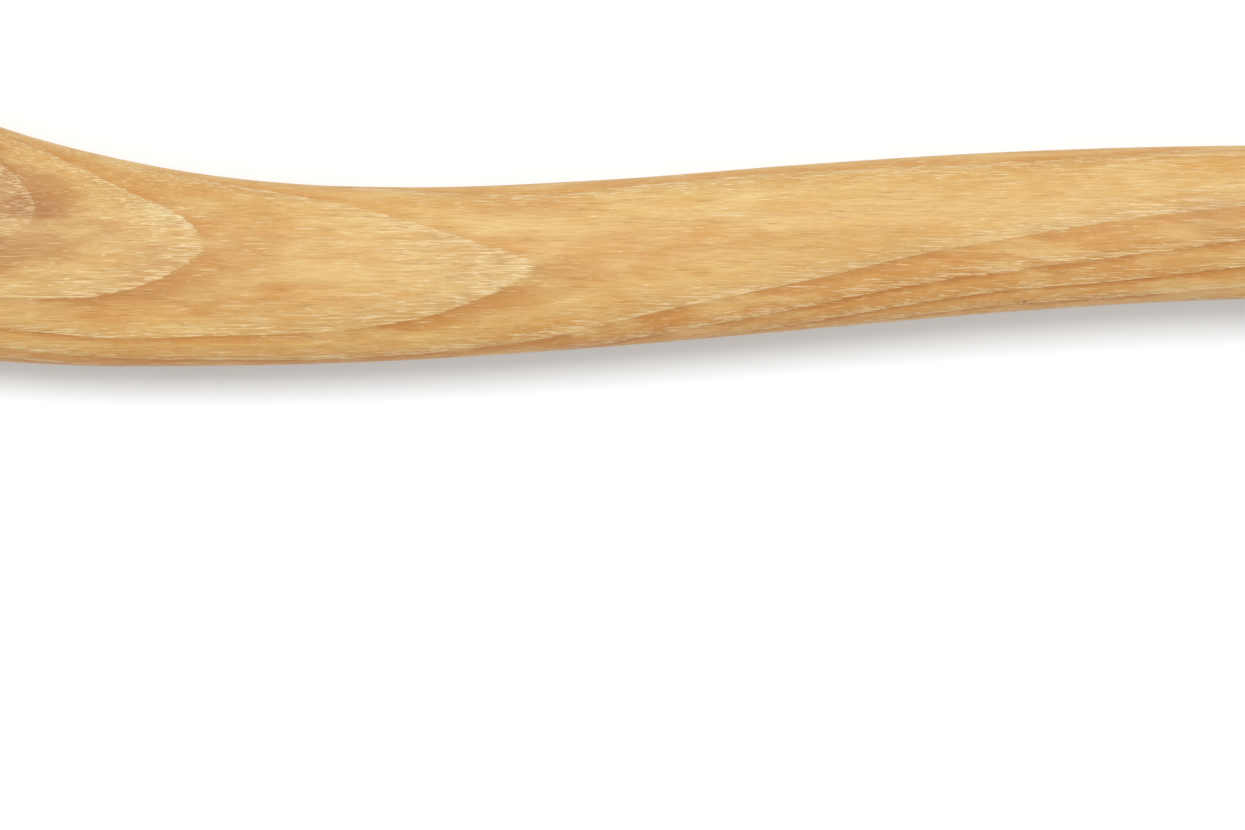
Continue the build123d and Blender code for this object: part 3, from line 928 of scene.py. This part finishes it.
def collar_walk():
    """The way round the collar's wall: distances from the handle's foot, and heights off the handle."""
    low, high = COLLAR_LOW_X - FOOT_X, COLLAR_TOP_X - FOOT_X
    half = COLLAR_WALL / 2
    steps = round(high - low)
    bend = np.linspace(0, math.pi, RIM_POINTS)
    walk = [(d, COLLAR_WALL) for d in np.linspace(low + half, high - half, steps, endpoint=False)]
    walk += [(high - half + half * math.sin(a), half + half * math.cos(a)) for a in bend]
    walk += [(d, 0.0) for d in np.linspace(high - half, low + half, steps // 4, endpoint=False)[1:]]
    walk += [(low + half - half * math.sin(a), half - half * math.cos(a)) for a in bend[:-1]]
    return walk


def near_weld(points, reach):
    """1 on the collar's weld, which runs along its poll side, and less away from it."""
    off = np.abs(points[:, 2] - MID_Z)
    return np.where(points[:, 1] < EYE_Y, np.exp(-((off / reach) ** 2)), 0.0)


def build_collar(material):
    walk = collar_walk()
    rows = np.array([handle_ring(d, max(height, COLLAR_ROOM), COLLAR_ROUND) for d, height in walk])
    collar = make_object("steel_collar", rows.reshape(-1, 3), walls(rows, closed=True))
    points, outward = coordinates(collar.data), normals(collar.data)
    outer = np.array([height > COLLAR_WALL / 2 for _, height in walk]).repeat(COLLAR_ROUND)
    ripple = 1 - BEAD_RIPPLE + BEAD_RIPPLE * np.sin(2 * math.pi * points[:, 0] / BEAD_PITCH)
    lift = unevenness(points, COLLAR_MARKS) + BEAD_HEIGHT * near_weld(points, BEAD_REACH) * ripple
    move(collar.data, points + outward * np.where(outer, lift, 0.0)[:, None])
    cut(collar, screw_seat(1), screw_seat(-1))
    store(collar.data, "weld", near_weld(coordinates(collar.data), HEAT_REACH))
    finish_piece(collar, material, "collar_steel", "guard_collar")


# ------------------------------------------------------------------ CAD nodes that keep their shape
BEVEL_SEGMENTS = 2
BEVEL_FROM = math.radians(40)  # an edge turned more than this is rounded
RING_BEVEL = 0.2
SCREW_BEVEL = 0.15


def dress(node, material, bevel=0.0):
    """Gives a CAD node its material, and rounds its edges where a bevel is given."""
    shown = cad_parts[node]
    shown.data.materials.clear()
    shown.data.materials.append(material)
    if bevel:
        rounding = shown.modifiers.new("rounding", "BEVEL")
        rounding.width = bevel * MM
        rounding.segments = BEVEL_SEGMENTS
        rounding.limit_method = "ANGLE"
        rounding.angle_limit = BEVEL_FROM


# ------------------------------------------------------------------ floor, light and camera
VIEW_X = -221.2  # middle of the picture
VIEW_Y = -59.0
VIEW_WIDTH = 270.65
LENS = 135.0
SENSOR = 36.0
FLOOR_REACH = 8000.0
FLOOR_COLOUR = (0.885, 0.926, 0.957, 1.0)
SKY_COLOUR = (0.96, 0.983, 1.0, 1.0)
SKY_STRENGTH = 0.84
# Where the lamp is, where it points and how wide it is, in metres, then its colour and its watts.
LAMP_PLACE = Vector((-0.25, 0.45, 1.75))
LAMP_AIM = Vector((-0.1, 0.0, 0.0))
LAMP_SIDE = 0.65
LAMP_COLOUR = (1.0, 0.98, 0.95)
LAMP_POWER = 17.5


def build_camera():
    camera = bpy.data.cameras.new("camera")
    camera.type = "PERSP"
    camera.lens = LENS
    camera.sensor_width = SENSOR
    camera.clip_start, camera.clip_end = 0.01, 50.0
    holder = bpy.data.objects.new("camera", camera)
    holder.location = (VIEW_X * MM, VIEW_Y * MM, (MID_Z + VIEW_WIDTH * LENS / SENSOR) * MM)
    bpy.context.scene.collection.objects.link(holder)
    bpy.context.scene.camera = holder


def build_floor(*resting):
    """A plain floor that the maul rests on with a cheek of its head and the foot of its handle."""
    points = np.concatenate([coordinates(piece.data) for piece in resting])
    lowest = points[points[:, 2].argmin()]
    behind = points[points[:, 0] < lowest[0] - HEAD_HEIGHT]
    slope = ((behind[:, 2] - lowest[2]) / (lowest[0] - behind[:, 0])).min()
    middle = np.array([lowest[0], 0.0, lowest[2]])
    downhill, sideways = np.array([1.0, 0.0, -slope]), np.array([0.0, 1.0, 0.0])
    corners = [middle + FLOOR_REACH * (x * downhill + y * sideways) for x, y in
               ((-1, -1), (1, -1), (1, 1), (-1, 1))]
    floor = make_object("floor", np.array(corners), [(0, 1, 2, 3)])
    g = Graph("floor")
    floor.data.materials.append(g.finish(Base_Color=FLOOR_COLOUR, Roughness=0.9, Specular_IOR_Level=0.1))


def build_lights():
    """Soft light from all round, and one square lamp above."""
    world = bpy.data.worlds.new("studio")
    bpy.context.scene.world = world
    world.use_nodes = True
    sky = world.node_tree.nodes["Background"]
    sky.inputs["Color"].default_value = SKY_COLOUR
    sky.inputs["Strength"].default_value = SKY_STRENGTH
    lamp = bpy.data.lights.new("key", "AREA")
    lamp.color = LAMP_COLOUR
    lamp.shape = "SQUARE"
    lamp.size = LAMP_SIDE
    lamp.energy = LAMP_POWER
    holder = bpy.data.objects.new("key", lamp)
    holder.location = LAMP_PLACE
    holder.rotation_euler = (LAMP_AIM - LAMP_PLACE).to_track_quat("-Z", "Y").to_euler()
    bpy.context.scene.collection.objects.link(holder)
    bpy.context.scene.view_settings.view_transform = "Standard"


build_camera()
build_lights()
handle = build_handle(hickory())
head = build_head(forged_steel())
build_collar(sheet_steel())
ring_steel = plain_steel("ring_steel", linear(120, 121, 124), linear(178, 178, 180), 0.35)
screw_steel = plain_steel("screw_steel", linear(168, 168, 170), linear(212, 212, 214), 0.26)
dress("wooden_wedge", pale_wood())
dress("ring_wedge", ring_steel, RING_BEVEL)
dress("collar_screws", screw_steel, SCREW_BEVEL)
build_floor(handle, head)
